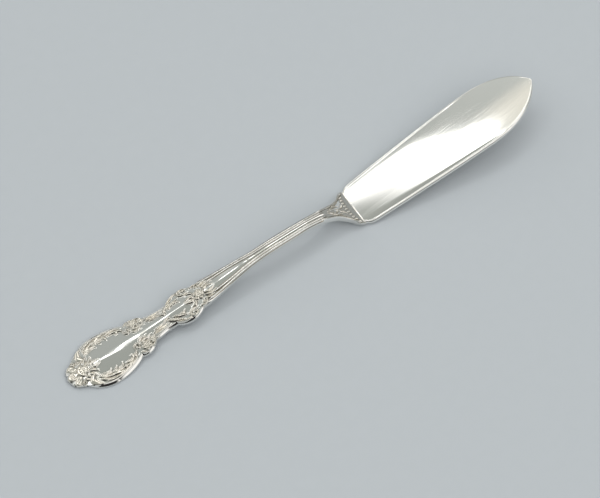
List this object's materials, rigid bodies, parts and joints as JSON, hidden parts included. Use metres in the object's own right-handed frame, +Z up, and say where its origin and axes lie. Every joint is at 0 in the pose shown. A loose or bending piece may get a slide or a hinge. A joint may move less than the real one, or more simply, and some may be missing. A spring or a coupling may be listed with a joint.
{
  "type": "master butter knife",
  "caption": "Flat-handled serving knife for butter: lancet blade, fan shoulder, arched threaded stem and a lobed handle panel with struck scroll ornament.",
  "frame": {"origin": "middle of the knife's box on the table it lies on", "axes": "+X from the handle's shell end to the blade's tip, +Z up from the table, ornament upwards"},
  "size_m": [0.178, 0.0204, 0.0146],
  "materials": {
    "blade_plate": "polished silver plate with fine use scratches",
    "handle_plate": "die-struck silver plate, polished high spots, toned recesses",
    "solder": "hard solder, plated over"
  },
  "bodies": {
    "root": {"blade": "blade_plate", "handle": "handle_plate", "solder_seam": "solder"}
  },
  "joints": []
}
